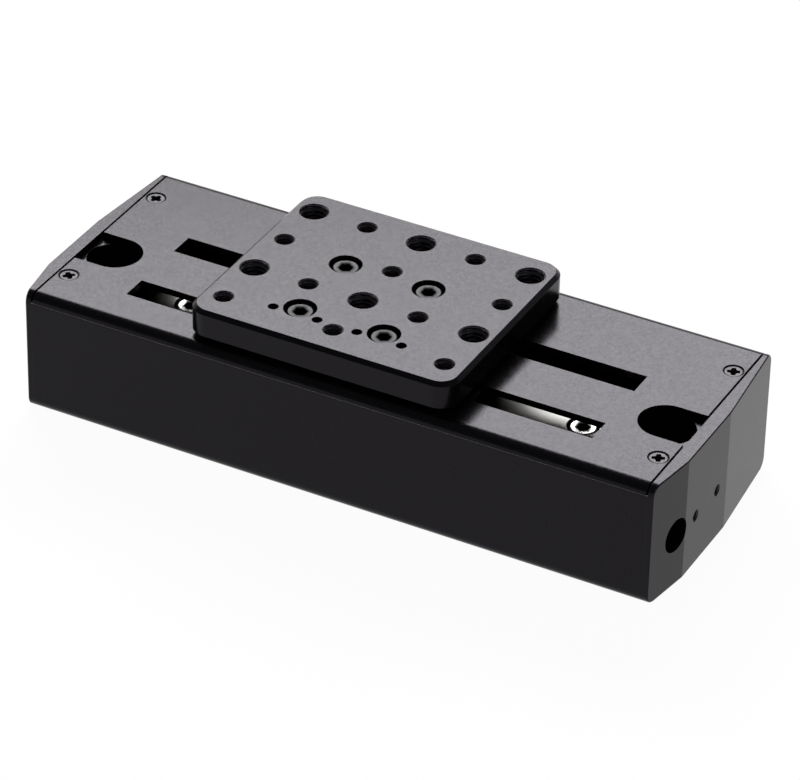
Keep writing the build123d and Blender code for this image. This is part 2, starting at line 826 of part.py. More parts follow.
def make_board_screws():
    """Slotted pan heads that hold the board on its bosses."""
    diameter, height = board_screw_head
    head_top_z = board_top_z + height
    screws = []
    for x, y in board_screw_places():
        screw = rod(diameter, board_top_z, head_top_z, x, y)
        screw += rod(M2, FLOOR_SKIN + THREAD_SPARE, board_top_z, x, y)
        slot = Pos(x, y, head_top_z) * Box(0.7 * diameter, RECESS_WIDTH, height)
        screws.append(screw - slot)
    return group(screws, "board_screws")


def make_board_chips():
    """Driver, signal and memory chips, evenly spaced between the board's two screws."""
    (left, _), (right, _) = board_screw_places()
    head = board_screw_head[0] / 2
    free = right - left - 2 * head - sum(length for length, _, _ in board_chip_sizes)
    gap = free / (len(board_chip_sizes) + 1)
    chips, x = [], left + head
    for length, width, height in board_chip_sizes:
        x += gap + length / 2
        chips.append(Pos(x, board_y, board_top_z) * Box(length, width, height, align=UP))
        x += length / 2
    return group(chips, "board_chips")


def make_board_connector():
    """Header that the motor cable plugs into, facing the cable hole."""
    left_x = board_right_x - connector_length
    half = connector_width / 2
    top_z = board_top_z + connector_height
    middle_z = (board_top_z + top_z) / 2
    shell = block_between((left_x, board_right_x), (board_y - half, board_y + half), (board_top_z, top_z))
    shell -= block_between(
        (left_x + connector_wall, board_right_x),
        (board_y - half + connector_wall, board_y + half - connector_wall),
        (board_top_z + connector_wall, top_z - connector_wall),
    )
    for i in range(connector_pins):
        y = board_y + (i - (connector_pins - 1) / 2) * connector_pin_pitch
        shell += rod_x(connector_pin, left_x, board_right_x - connector_wall, y, middle_z)
    return shell


# ---- end stops ----------------------------------------------------------

def bumper_places():
    """(side, y, z): one pair per end, in line with the bracket's two wings."""
    z = (wing_bottom_z + bracket_top_z) / 2
    return [(side, y, z) for side in (-1, 1) for y in (scale_y, motor_y)]


def make_bumpers(side, name):
    bumpers = []
    for place_side, y, z in bumper_places():
        if place_side != side:
            continue
        wall_x = side * trough_half_length
        tip_x = wall_x - side * bumper_pad
        pad = rod_x(bumper_diameter, *sorted((tip_x, wall_x)), y, z)
        stem = rod_x(bumper_stem, *sorted((wall_x, wall_x + side * bumper_stem_length)), y, z)
        bumpers.append(pad + stem)
    return group(bumpers, name)


def main():
    pieces = {
        "base_body": make_base(),
        "top_cover": make_cover(),
        "end_cap_left": make_end_cap(-1),
        "end_cap_right": make_end_cap(1),
        "cover_screws": group(
            [flat_screw(x, y, body_height, M2_LENGTH) for x, y in four(2 * cover_screw_x, 2 * cover_screw_y)],
            "cover_screws",
        ),
        "end_cap_screws": group(
            [flat_screw(x, y, 0, M2_LENGTH, upward=True) for x, y in tongue_screw_places()],
            "end_cap_screws",
        ),
        "guide_rail": make_rail(),
        "rail_screws": make_rail_screws(),
        "coil_windings": make_coil_windings(),
        "coil_blade": make_coil_blade(),
        "coil_bar": make_coil_bar(),
        "coil_bar_screws": make_coil_bar_screws(),
        "coil_flex_lead": make_flex_lead(),
        "read_head": make_read_head(),
        "read_head_bracket": make_head_bracket(),
        "read_head_screws": make_head_screws(),
        "circuit_board": make_board(),
        "board_screws": make_board_screws(),
        "board_chips": make_board_chips(),
        "board_connector": make_board_connector(),
        "bumpers_left": make_bumpers(-1, "bumpers_left"),
        "bumpers_right": make_bumpers(1, "bumpers_right"),
        "carriage_plate": make_carriage_plate(),
        "plate_screws": make_plate_screws(),
        "slider_bracket": make_slider_bracket(),
        "magnet_yoke": make_yoke(),
        "magnets_front": make_magnets(-1, "magnets_front"),
        "magnets_rear": make_magnets(1, "magnets_rear"),
        "yoke_screws": group(
            [flat_screw(x, y, bracket_top_z, yoke_screw_length) for x, y in yoke_screw_places()],
            "yoke_screws",
        ),
        "bearing_block": make_bearing_block(),
        "bearing_end_cap_left": make_bearing_end_cap(-1),
        "bearing_end_cap_right": make_bearing_end_cap(1),
        "bearing_seal_left": make_bearing_seal(-1),
        "bearing_seal_right": make_bearing_seal(1),
        "bearing_balls": make_balls(),
        "encoder_scale": make_scale(),
    }
    os.makedirs("parts", exist_ok=True)
    for name, piece in pieces.items():
        piece.label = name
        export_step(piece, f"parts/{name}.step")


main()
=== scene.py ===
"""Dresses the linear stage's solids: threads, screws, wound coils, board parts and finishes."""

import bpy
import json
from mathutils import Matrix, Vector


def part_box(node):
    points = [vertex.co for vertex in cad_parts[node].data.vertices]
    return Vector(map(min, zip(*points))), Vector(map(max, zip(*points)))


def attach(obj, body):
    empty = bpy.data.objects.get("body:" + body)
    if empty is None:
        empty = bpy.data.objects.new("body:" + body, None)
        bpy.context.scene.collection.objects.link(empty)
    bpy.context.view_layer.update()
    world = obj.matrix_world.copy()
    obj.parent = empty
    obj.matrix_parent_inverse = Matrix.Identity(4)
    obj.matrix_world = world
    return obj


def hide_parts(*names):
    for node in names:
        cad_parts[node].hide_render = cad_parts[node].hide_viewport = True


bl_info = {
    "name": "Linear Stage Dressing",
    "version": (1, 0, 0),
    "blender": (4, 5, 0),
    "location": "View3D > Sidebar > Linear Stage",
    "description": "Threads, screws, windings, board parts and finishes for a motorised linear stage",
    "category": "Object",
}

import json
import math

import bpy
import numpy as np
from bpy.props import FloatProperty, FloatVectorProperty, IntProperty, PointerProperty
from mathutils import Matrix

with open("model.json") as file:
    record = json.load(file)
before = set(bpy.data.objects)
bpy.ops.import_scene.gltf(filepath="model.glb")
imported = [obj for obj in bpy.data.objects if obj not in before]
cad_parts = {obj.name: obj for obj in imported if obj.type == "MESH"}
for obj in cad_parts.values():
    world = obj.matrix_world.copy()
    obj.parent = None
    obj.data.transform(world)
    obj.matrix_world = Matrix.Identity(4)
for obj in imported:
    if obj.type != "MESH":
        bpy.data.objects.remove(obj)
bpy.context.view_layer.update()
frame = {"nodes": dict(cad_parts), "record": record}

MM = 0.001
TURN = 2 * math.pi
SHARP_ANGLE = math.radians(32)

# where each countersunk screw's cross stops when it is tight, in degrees
STOPPED_AT = (44.0, 74.0, 21.0, 20.0, 62.0, 5.0)

# broken edge along the base's two long rims
RIM_HALF_WIDTH = 27.947 * MM
RIM_TOP = 25.9 * MM
RIM_BREAK = 0.15 * MM

# studio, in metres
FLOOR_RADIUS = 3.0
FLOOR_BEND = 0.2
FLOOR_RIM = 1.1
FLOOR_DROP = 0.02 * MM
STAGE_MIDDLE = (0.0, 0.0, 0.02)
BACK_SOFTBOX = {"place": (-0.4255, 0.8316, 0.743), "wide": 0.95, "tall": 0.36}
SIDE_SOFTBOX = {"place": (1.25, -0.35, 0.75), "wide": 0.7, "tall": 0.7}
CAMERA_PLACE = (0.35698, -0.68834, 0.52665)
CAMERA_AXES = (
    (0.88233, -0.27421, 0.38250),
    (0.47025, 0.48118, -0.73982),
    (0.01882, 0.83264, 0.55350),
)
SENSOR_WIDTH = 36.0


def length(name, description, value):
    """A size in metres whose default is given in millimetres."""
    return FloatProperty(
        name=name, description=description, default=value * MM, unit="LENGTH", precision=5
    )


def colour(name, description, value):
    """A linear surface colour."""
    return FloatVectorProperty(
        name=name, description=description, default=value, size=3, subtype="COLOR", min=0.0, max=1.0
    )


# ---- sizes and colours a user would change --------------------------------


class ThreadSizes(bpy.types.PropertyGroup):
    """Tapped holes of the carriage plate and the end cap."""

    hole_pitch: length("Hole half pitch", "Half the pitch of the plate's hole grid", 12.5)
    large_diameter: length("Large thread", "Major diameter of the large tapped holes", 6.0)
    large_lead: length("Large thread lead", "Rise of the large thread in one turn", 1.0)
    small_diameter: length("Small thread", "Major diameter of the small tapped holes", 4.0)
    small_lead: length("Small thread lead", "Rise of the small thread in one turn", 0.7)
    cap_diameter: length("Cap thread", "Major diameter of the end cap's two threads", 2.6)
    cap_lead: length("Cap thread lead", "Rise of the end cap's thread in one turn", 0.45)
    cap_hole_y: length("Cap hole line", "Middle of the two cap threads across the travel", -6.0)
    cap_hole_z: length("Cap hole height", "Height of the two cap threads", 12.0)
    cap_hole_pitch: length("Cap hole pitch", "Distance between the two cap threads", 10.0)
    mouth: length("Thread mouth", "Depth of the broken edge over each thread", 0.15)


class ScrewSizes(bpy.types.PropertyGroup):
    """Socket head and countersunk screws."""

    socket_head: length("Socket head", "Diameter of a socket screw's head", 5.5)
    socket_head_height: length("Socket head height", "Height of a socket screw's head", 3.0)
    socket_flats: length("Socket flats", "Hexagon socket across its flats", 2.5)
    socket_mouth: length("Socket mouth", "Diameter of the cone over the hexagon", 3.5)
    socket_shank: length("Socket shank", "Major diameter of a socket screw's thread", 3.0)
    socket_lead: length("Socket lead", "Rise of a socket screw's thread in one turn", 0.5)
    knurls: IntProperty(name="Knurls", description="Ridges round a socket head", default=36)
    flat_head: length("Countersunk head", "Diameter of a countersunk head", 4.0)
    flat_head_height: length("Countersunk height", "Height of a countersunk head's cone", 1.1)
    flat_shank: length("Countersunk shank", "Major diameter of a countersunk screw's thread", 2.0)
    flat_lead: length("Countersunk lead", "Rise of a countersunk screw's thread in one turn", 0.4)
    cross_length: length("Cross length", "Tip to tip length of the cross recess", 2.6)
    cross_width: length("Cross width", "Width of the cross recess's arms", 0.95)
    cross_centre: length("Cross centre", "Diameter of the round middle of the cross recess", 1.75)
    cross_depth: length("Cross depth", "Depth of the cross recess", 1.2)
    flat_sunk: length("Head sunk", "How far a countersunk head sits below the face around it", 0.2)
    flat_face: length("Head face", "Diameter of a countersunk head's flat face", 3.6)
    coil_pitch: length("Coil screw pitch", "Between the coil bar's side screws, along the travel", 80.0)


class CoilSizes(bpy.types.PropertyGroup):
    """Windings of the linear motor."""

    count: IntProperty(name="Coils", description="Windings along the blade", default=6)
    pitch: length("Coil pitch", "Distance between two windings", 16.0)
    band: length("Coil band", "Width of the wound band", 3.0)
    corner: length("Coil corner", "Outer corner radius of a winding", 2.2)
    wires: IntProperty(name="Wires", description="Wires side by side across the band", default=8)


class FinishColours(bpy.types.PropertyGroup):
    """Colours of the finishes."""

    anodise: colour("Black anodise", "Dyed oxide layer", (0.0046, 0.0041, 0.0050))
    nickel: colour("Nickel", "Plated magnets and steel", (0.40, 0.39, 0.38))
    dark_nickel: colour("Dark nickel", "Plated cover screws", (0.070, 0.067, 0.071))
    bright: colour("Bright zinc", "Plated rail screws", (0.70, 0.69, 0.675))
    oxide: colour("Black oxide", "Blackened screws", (0.045, 0.044, 0.046))
    steel: colour("Ground steel", "Rail and bearing block", (0.30, 0.295, 0.285))
    plain: colour("Clear anodise", "Undyed aluminium", (0.60, 0.61, 0.63))
    copper: colour("Enamelled copper", "Coil wire", (0.60, 0.24, 0.10))
    resin: colour("Resin", "Cast coil blade", (0.085, 0.040, 0.022))
    film: colour("Film", "Flat lead", (0.48, 0.24, 0.05))
    plastic: colour("Plastic", "Moulded parts", (0.022, 0.022, 0.023))
    mask: colour("Solder mask", "Circuit board", (0.02, 0.13, 0.06))
    rubber: colour("Rubber", "Bumpers and seals", (0.017, 0.017, 0.018))
    scale: colour("Scale", "Etched steel tape", (0.70, 0.68, 0.60))
    solder: colour("Solder", "Solder joints and leads", (0.72, 0.72, 0.70))


class StageLight(bpy.types.PropertyGroup):
    """Camera, lamps and floor."""

    back_light: FloatProperty(
        name="Back softbox", description="Radiance of the softbox behind the stage", default=10.9, min=0.0
    )
    fill_light: FloatProperty(
        name="Side softbox", description="Radiance of the softbox to the right", default=0.5, min=0.0
    )
    ambient: FloatProperty(name="Ambient", description="Strength of the world", default=0.14, min=0.0)
    lens: FloatProperty(name="Lens", description="Focal length in millimetres", default=205.44)
    floor_white: FloatProperty(
        name="Floor white", description="Share of plain white in the floor as seen", default=0.92
    )


GROUPS = {
    "stage_threads": ThreadSizes,
    "stage_screws": ScrewSizes,
    "stage_coils": CoilSizes,
    "stage_colours": FinishColours,
    "stage_light": StageLight,
}


# ---- surfaces -------------------------------------------------------------


def grid_faces(rows, columns, joined, first):
    """Quads between neighbouring rows of a grid whose columns go all the way round.

    With joined, the rows close into a ring too.
    """
    index = first + np.arange(rows * columns).reshape(rows, columns)
    beside = np.roll(index, -1, axis=1)
    above, above_beside = np.roll(index, -1, axis=0), np.roll(beside, -1, axis=0)
    quads = np.stack([index, beside, above_beside, above], axis=-1)
    return (quads if joined else quads[:-1]).reshape(-1, 4)


def pole_faces(ring, pole, top):
    """Triangles from a ring of points to its pole, facing out at the top or the bottom."""
    beside = np.roll(ring, -1)
    middle = np.full_like(ring, pole)
    return np.stack([ring, beside, middle] if top else [middle, beside, ring], axis=-1)


def piece_from_grids(name, grids, joined=False, recess_bands=0):
    """One object from point grids of shape (rows, columns, 3); open ends are closed at a middle point.

    The last bands of each grid may take the piece's second finish, a near-black one that paints the shade
    deep inside a recess.
    """
    points, faces, first, finishes = [], [], 0, []
    for grid in grids:
        rows, columns = grid.shape[:2]
        points.append(grid.reshape(-1, 3))
        faces += grid_faces(rows, columns, joined, first).tolist()
        band = np.repeat(np.arange(rows if joined else rows - 1), columns)
        # the last bands get the second finish: painted shade for the inside of a recess
        finishes.append(band >= rows - 1 - recess_bands if recess_bands else np.zeros(band.size, bool))
        first += rows * columns
        if not joined:
            points.append(np.array([grid[0].mean(axis=0), grid[-1].mean(axis=0)]))
            ring = first - rows * columns + np.arange(columns)
            faces += pole_faces(ring, first, False).tolist()
            faces += pole_faces(ring + (rows - 1) * columns, first + 1, True).tolist()
            # the far pole of a recess gets the painted shade finish too
            finishes.append(np.repeat([False, recess_bands > 0], columns))
            first += 2
    mesh = bpy.data.meshes.new(name)
    mesh.from_pydata(np.concatenate(points).tolist(), [], faces)
    mesh.polygons.foreach_set("material_index", np.concatenate(finishes).astype(np.int32))
    mesh.validate()
    mesh.shade_smooth()
    mesh.set_sharp_from_angle(angle=SHARP_ANGLE)
    piece = bpy.data.objects.new(name, mesh)
    bpy.context.scene.collection.objects.link(piece)
    return piece


def around(radius, height, theta):
    """Points (rows, columns, 3) with radius and height given for each row and column round the Z axis."""
    radius, height = np.broadcast_arrays(radius, height)
    return np.stack([radius * np.cos(theta), radius * np.sin(theta), height], axis=-1)


def spun(grid, degrees):
    """The grid turned about its own axis, as a driven screw stops where it is tight."""
    return grid @ np.array(Matrix.Rotation(math.radians(degrees), 3, "Z")).T


def placed(grid, spot, turn="up"):
    """The grid moved to a spot, left upright, turned upside down, or laid along X."""
    turns = {
        "up": Matrix.Identity(3),
        "down": Matrix.Rotation(math.pi, 3, "X"),
        "along": Matrix.Rotation(math.pi / 2, 3, "Y"),
    }
    return grid @ np.array(turns[turn]).T + np.array(spot)


def thread_depth(height, theta, lead, depth, low, high):
    """Depth of a thread: a triangle wave of height over lead less the turn.

    It fades out over one lead at each end.
    """
    phase = (height / lead - theta / TURN) % 1.0
    wave = 1.0 - np.abs(2.0 * phase - 1.0)
    fade = np.clip(np.minimum(height - low, high - height) / lead, 0.0, 1.0)
    return depth * np.clip(1.35 * wave, 0.0, 1.0) * fade


def hole_thread(diameter, lead, low, high, columns=36):
    """A tapped hole's wall: a closed sleeve with a thread inside and a plain cylinder outside."""
    rows_per_turn, cut, cover = 7, 0.58, 0.02 * MM
    theta = np.linspace(0.0, TURN, columns, endpoint=False)[None, :]
    rows = int(round((high - low) / lead * rows_per_turn))
    height = np.linspace(high, low, rows)[:, None]
    bore = diameter / 2 - cover - thread_depth(height, theta, lead, cut * lead, low, high)
    skin = diameter / 2 + cover
    inner = around(bore, height, theta)
    outer = around(np.full((2, columns), skin), np.array([[low], [high]]), theta)
    return np.concatenate([inner, outer])


def shank_rows(theta, diameter, lead, low, high):
    """Rows of an outside thread from its tip up to the head, with a tapered first turn."""
    rows_per_turn, cut, taper = 6, 0.5, 0.35
    height = np.linspace(low, high, int(round((high - low) / lead * rows_per_turn)))[:, None]
    root = thread_depth(height, theta, lead, cut * lead, low, high)
    tip = np.clip((height - low) / lead, 0.0, 1.0)
    return diameter / 2 - root - taper * lead * (1.0 - tip), height


def hexagon(theta, flats):
    """Radius of a hexagon: half its flats over the cosine of the angle off the nearest flat."""
    off = (theta + TURN / 12) % (TURN / 6) - TURN / 12
    return flats / 2 / np.cos(off)


def cross(theta, reach, width, centre):
    """Radius of a cross: its arm's end, or its arm's side where nearer, never inside its round middle."""
    off = np.abs((theta + TURN / 8) % (TURN / 4) - TURN / 8)
    arm = np.minimum(reach / 2, width / 2 / np.maximum(np.sin(off), 1e-6))
    return np.maximum(arm, centre / 2)


def stacked(theta, rows):
    """Rows of (radius, height) pairs, each a number or an array round the axis, as one grid."""

    def spread(values):
        tables = [np.atleast_2d(value) for value in values]
        return np.concatenate([np.broadcast_to(t, (t.shape[0], theta.size)) for t in tables])

    radii, heights = zip(*rows)
    return around(spread(radii), spread(heights), theta[None, :])


def socket_screw(sizes, reach):
    """Socket head screw, its head's top at zero: tip, thread, knurled head, then down the hexagon."""
    theta = np.linspace(0.0, TURN, 6 * 24, endpoint=False)
    head, seat = sizes.socket_head / 2, -sizes.socket_head_height
    ridge = 0.06 * MM * (0.5 + 0.5 * np.cos(sizes.knurls * theta))
    edge = 0.26 * MM
    radius, height = shank_rows(theta, sizes.socket_shank, sizes.socket_lead, -reach, seat)
    hexa = hexagon(theta, sizes.socket_flats)
    floor = -sizes.socket_head_height / 2
    rows = [
        (0.7 * sizes.socket_shank / 2, -reach),
        (radius, height),
        (head - 0.15 * MM, seat),
        (head - ridge, seat + 0.15 * MM),
        (head - ridge, -edge - 0.05 * MM),
        (head - 0.3 * ridge, -edge),
        (head - 0.10 * MM, -0.4 * edge),
        (head - edge, 0.0),
        (sizes.socket_mouth / 2 + 0.0 * theta, 0.0),
        (hexa + 0.04 * MM, -0.17 * MM),
        (hexa, -0.21 * MM),
        (hexa, floor),
        (0.3 * hexa, floor - 0.2 * MM),
    ]
    return stacked(theta, rows)


def countersunk_screw(sizes, reach):
    """Countersunk screw, its head's top at zero: tip, thread, cone, flat, then down the cross."""
    corner = math.atan2(sizes.cross_width, sizes.cross_length)
    even = np.linspace(0.0, TURN, 64, endpoint=False)
    corners = np.concatenate([k * TURN / 4 + np.array([-corner, corner]) for k in range(4)]) % TURN
    theta = np.unique(np.round(np.concatenate([even, corners]), 6))
    head, face, cone = sizes.flat_head / 2, sizes.flat_face / 2, -sizes.flat_head_height
    radius, height = shank_rows(theta, sizes.flat_shank, sizes.flat_lead, -reach, cone)
    mouth = cross(theta, sizes.cross_length, sizes.cross_width, sizes.cross_centre)
    throat = cross(
        theta, 0.72 * sizes.cross_length, 0.66 * sizes.cross_width, 0.62 * sizes.cross_centre
    )
    rows = [
        (0.7 * sizes.flat_shank / 2, -reach),
        (radius, height),
        (sizes.flat_shank / 2, cone),
        (head - 0.12 * MM, -sizes.flat_sunk - 0.14 * MM),
        (head - 0.12 * MM, -sizes.flat_sunk - 0.08 * MM),
        (face, -sizes.flat_sunk),
        (mouth + 0.03 * MM, -sizes.flat_sunk),
        (mouth, -sizes.flat_sunk - 0.05 * MM),
        (throat, -0.6 * sizes.cross_depth),
        (0.5 * sizes.cross_width + 0.0 * theta, -sizes.cross_depth),
        (0.15 * sizes.cross_width + 0.0 * theta, -1.12 * sizes.cross_depth),
    ]
    return stacked(theta, rows)


def rounded_rectangle(wide, tall, radius, per_corner, per_side):
    """Path round a rounded rectangle in two coordinates, with its outward direction at each point."""
    path, out = [], []
    for k in range(4):
        angle = np.linspace(0.0, TURN / 4, per_corner) + k * TURN / 4
        facing = np.stack([np.cos(angle), np.sin(angle)], axis=-1)
        middle = np.sign(facing.mean(axis=0)) * (np.array([wide, tall]) / 2 - radius)
        path.append(middle + radius * facing)
        out.append(facing)
    path, out = np.concatenate(path), np.concatenate(out)
    after, out_after = np.roll(path, -1, axis=0), np.roll(out, -1, axis=0)
    share = np.linspace(0.0, 1.0, per_side, endpoint=False)[None, :, None]
    corner_end = (np.arange(len(path)) + 1) % per_corner == 0
    points, facing = [], []
    for ends, keep in ((corner_end, share), (~corner_end, share[:, :1])):
        here = np.flatnonzero(ends)
        line = path[here][:, None] + keep * (after - path)[here][:, None]
        face = out[here][:, None] + keep * (out_after - out)[here][:, None]
        order = here[:, None] + keep[0, :, 0][None, :]
        points.append(np.concatenate([line.reshape(-1, 2), order.reshape(-1, 1)], axis=1))
        facing.append(face.reshape(-1, 2))
    points, facing = np.concatenate(points), np.concatenate(facing)
    order = np.argsort(points[:, 2])
    return points[order, :2], facing[order]


def wound_ring(wide, tall, thick, band, corner, wires):
    """A racetrack winding on edge: a square section with a ripple for each wire, carried round it."""
    middle_corner = corner - band / 2 + 0.9 * MM
    path, facing = rounded_rectangle(wide - band, tall - band, middle_corner, 8, 5)
    side = np.linspace(-0.5, 0.5, 4 * wires, endpoint=False)
    ripple = 0.06 * MM * (np.abs(np.sin(wires * math.pi * (side + 0.5))) - 1.0)
    half_band, half_thick = band / 2 - 0.05 * MM, thick / 2 - 0.02 * MM
    run_band, run_thick = 2 * half_band * side, 2 * half_thick * side
    across = np.concatenate([run_band, half_band + ripple, -run_band, -half_band - ripple])
    through = np.concatenate([-half_thick - ripple, run_thick, half_thick + ripple, -run_thick])
    points = path[:, None, :] + across[None, :, None] * facing[:, None, :]
    depth = np.broadcast_to(through, points.shape[:2])
    return np.stack([points[..., 0], depth, points[..., 1]], axis=-1)


def beads(spots, size, columns=12):
    """Small domed joints: half an ellipse of height size[2] over a footprint of size[0] by size[1]."""
    theta = np.linspace(0.0, TURN, columns, endpoint=False)[None, :]
    rise = np.linspace(0.0, 0.96, 5)[:, None]
    flat = np.sqrt(1.0 - rise**2)
    along, across = size[0] / 2 * flat * np.cos(theta), size[1] / 2 * flat * np.sin(theta)
    dome = np.stack([along, across, size[2] * rise + 0 * theta], axis=-1)
    return [dome + np.array(spot) for spot in spots]


def bent_lead(spot, outward, run, drop, wide, thick):
    """A chip's lead: a thin rectangle carried out, down and out again along an S."""
    share = np.linspace(0.0, 1.0, 9)
    step = np.clip((share - 0.3) / 0.4, 0.0, 1.0)
    path_out = run * share
    path_down = -drop * (3 * step**2 - 2 * step**3)
    side = np.array([-0.5, 0.5, 0.5, -0.5]) * wide
    rise = np.array([-0.5, -0.5, 0.5, 0.5]) * thick
    along = outward * path_out[:, None] + 0 * side[None, :]
    columns = side[None, :] + 0 * along
    height = path_down[:, None] + rise[None, :]
    points = np.stack([columns, along, height], axis=-1)
    return (points if outward < 0 else points[:, ::-1]) + np.array(spot)


# ---- finishes -------------------------------------------------------------


class Finish:
    """A material being made: its shader's own values, then the nodes that vary over the surface."""

    def __init__(self, name, **values):
        self.material = bpy.data.materials.new(name)
        self.material.use_nodes = True
        self.tree = self.material.node_tree
        self.shader = self.tree.nodes["Principled BSDF"]
        for key, value in values.items():
            self.shader.inputs[key.replace("_", " ")].default_value = value

    def node(self, kind, inputs=None, **settings):
        """A node with its settings, and its inputs given as values or as sockets to link."""
        node = self.tree.nodes.new("ShaderNode" + kind)
        for key, value in settings.items():
            setattr(node, key, value)
        for key, value in (inputs or {}).items():
            if isinstance(value, bpy.types.NodeSocket):
                self.tree.links.new(value, node.inputs[key])
            else:
                node.inputs[key].default_value = value
        return node

    def noise(self, grain, detail=2.0, stretch=(1.0, 1.0, 1.0)):
        """Noise whose grain is a length; stretch runs it out along an axis."""
        place = self.node("TexCoord").outputs["Object"]
        scale = [1.0 / (grain * s) for s in stretch]
        mapped = self.node("Mapping", {"Vector": place, "Scale": scale}).outputs["Vector"]
        return self.node("TexNoise", {"Vector": mapped, "Scale": 1.0, "Detail": detail}).outputs["Fac"]

    def between(self, factor, low, high, start=0.3, stop=0.7):
        """The factor spread over a range of values."""
        limits = {"Value": factor, "From Min": start, "From Max": stop, "To Min": low, "To Max": high}
        return self.node("MapRange", limits).outputs["Result"]

    def tint(self, factor, low, high):
        """A colour that runs from low to high with the factor."""
        mix = self.node("Mix", data_type="RGBA")
        self.tree.links.new(self.between(factor, 0.0, 1.0), mix.inputs[0])
        mix.inputs[6].default_value = (*low, 1.0)
        mix.inputs[7].default_value = (*high, 1.0)
        return mix.outputs[2]

    def rim_edge(self, half_width, top, drop):
        """One on the broken edge along both long rims, zero elsewhere."""
        place = self.node("SeparateXYZ", {0: self.node("TexCoord").outputs["Object"]})
        across = self.node("Math", {0: place.outputs["Y"]}, operation="ABSOLUTE").outputs[0]
        tests = (
            (place.outputs["Z"], "GREATER_THAN", top - drop),
            (place.outputs["Z"], "LESS_THAN", top + 0.01 * MM),
            (across, "LESS_THAN", half_width - 0.005 * MM),
            (across, "GREATER_THAN", half_width - drop - 0.01 * MM),
        )
        edge = 1.0
        for value, test, limit in tests:
            passed = self.node("Math", {0: value, 1: limit}, operation=test).outputs[0]
            edge = self.node("Math", {0: passed, 1: edge}, operation="MULTIPLY").outputs[0]
        return edge

    def bump(self, factor, depth, rounding=0.0):
        """A bump of real depth, over edges rounded by a radius."""
        inputs = {"Height": factor, "Distance": depth, "Strength": 1.0}
        if rounding:
            bevel = self.node("Bevel", {"Radius": rounding}, samples=4)
            inputs["Normal"] = bevel.outputs["Normal"]
        self.drive("Normal", self.node("Bump", inputs).outputs["Normal"])

    def drive(self, key, socket):
        """Links a varying value to the shader."""
        self.tree.links.new(socket, self.shader.inputs[key])


def shade(value, factor):
    return tuple(min(1.0, factor * v) for v in value)


def anodised(name, base, rough, ior, grain=0.32, rounding=0.10, bare=None, rim=None):
    """Dyed oxide over bead-blasted aluminium: satin, with a fine grain and faint patches.

    Where rim gives the rim's half width and height, its broken edge is bare metal, cut after the dyeing.
    """
    finish = Finish(name, Metallic=0.0, IOR=ior, Specular_Tint=(0.92, 0.83, 1.0, 1.0))
    fine = finish.noise(grain * MM, 3.0)
    patch = finish.noise(0.55 * MM, 4.0)
    colour_socket = finish.tint(patch, shade(base, 0.75), shade(base, 1.30))
    if rim:
        edge = finish.rim_edge(*rim)
        mix = finish.node("Mix", {0: edge, 6: colour_socket}, data_type="RGBA")
        mix.inputs[7].default_value = (*bare, 1.0)
        colour_socket = mix.outputs[2]
        finish.drive("Metallic", edge)
    finish.drive("Base Color", colour_socket)
    finish.drive("Roughness", finish.between(patch, rough - 0.05, rough + 0.05))
    finish.bump(fine, 0.010 * MM, rounding * MM)
    return finish.material


def brushed(name, base, rough, along, rounding=0.06):
    """Ground or brushed metal with fine lines along one axis."""
    finish = Finish(name, Metallic=1.0)
    stretch = [1.0, 1.0, 1.0]
    stretch["XYZ".index(along)] = 60.0
    lines = finish.noise(0.08 * MM, 3.0, stretch)
    finish.drive("Base Color", finish.tint(lines, shade(base, 0.92), shade(base, 1.05)))
    finish.drive("Roughness", finish.between(lines, rough - 0.04, rough + 0.05))
    finish.bump(lines, 0.0015 * MM, rounding * MM)
    return finish.material


def plated(name, base, rough, rounding=0.04):
    """Plated steel: a bright metal with a slight cloud."""
    finish = Finish(name, Metallic=1.0)
    cloud = finish.noise(0.7 * MM, 3.0)
    finish.drive("Base Color", finish.tint(cloud, shade(base, 0.88), shade(base, 1.06)))
    finish.drive("Roughness", finish.between(cloud, rough - 0.05, rough + 0.06))
    finish.bump(cloud, 0.003 * MM, rounding * MM)
    return finish.material


def moulded(name, base, rough, grain=0.25, depth=0.01, **values):
    """Moulded plastic, rubber or resin with a fine skin."""
    finish = Finish(name, Metallic=0.0, **values)
    skin = finish.noise(grain * MM, 4.0)
    cloud = finish.noise(3.0 * MM, 2.0)
    finish.drive("Base Color", finish.tint(cloud, shade(base, 0.85), shade(base, 1.18)))
    finish.drive("Roughness", finish.between(skin, rough - 0.05, rough + 0.07))
    finish.bump(skin, depth * MM, 0.08 * MM)
    return finish.material


def ruled_scale(name, base):
    """Etched tape: fine dark lines across the travel."""
    line_pitch = 0.2 * MM
    finish = Finish(name, Metallic=1.0)
    place = finish.node("TexCoord").outputs["Object"]
    wave = {"Vector": place, "Scale": 1.0 / (2.0 * line_pitch), "Distortion": 0.0}
    lines = finish.node("TexWave", wave, bands_direction="X").outputs["Fac"]
    finish.drive("Base Color", finish.tint(lines, shade(base, 0.25), base))
    finish.drive("Roughness", finish.between(lines, 0.42, 0.18))
    finish.bump(lines, 0.004 * MM)
    return finish.material


def board_mask(name, base):
    """Solder mask over copper traces that run along the board."""
    finish = Finish(name, Metallic=0.0, Coat_Weight=0.5, Coat_Roughness=0.12)
    traces = finish.noise(0.55 * MM, 0.0, (14.0, 1.0, 1.0))
    finish.drive("Base Color", finish.tint(traces, shade(base, 0.8), shade(base, 1.9)))
    finish.drive("Roughness", finish.between(traces, 0.30, 0.42))
    finish.bump(traces, 0.02 * MM)
    return finish.material


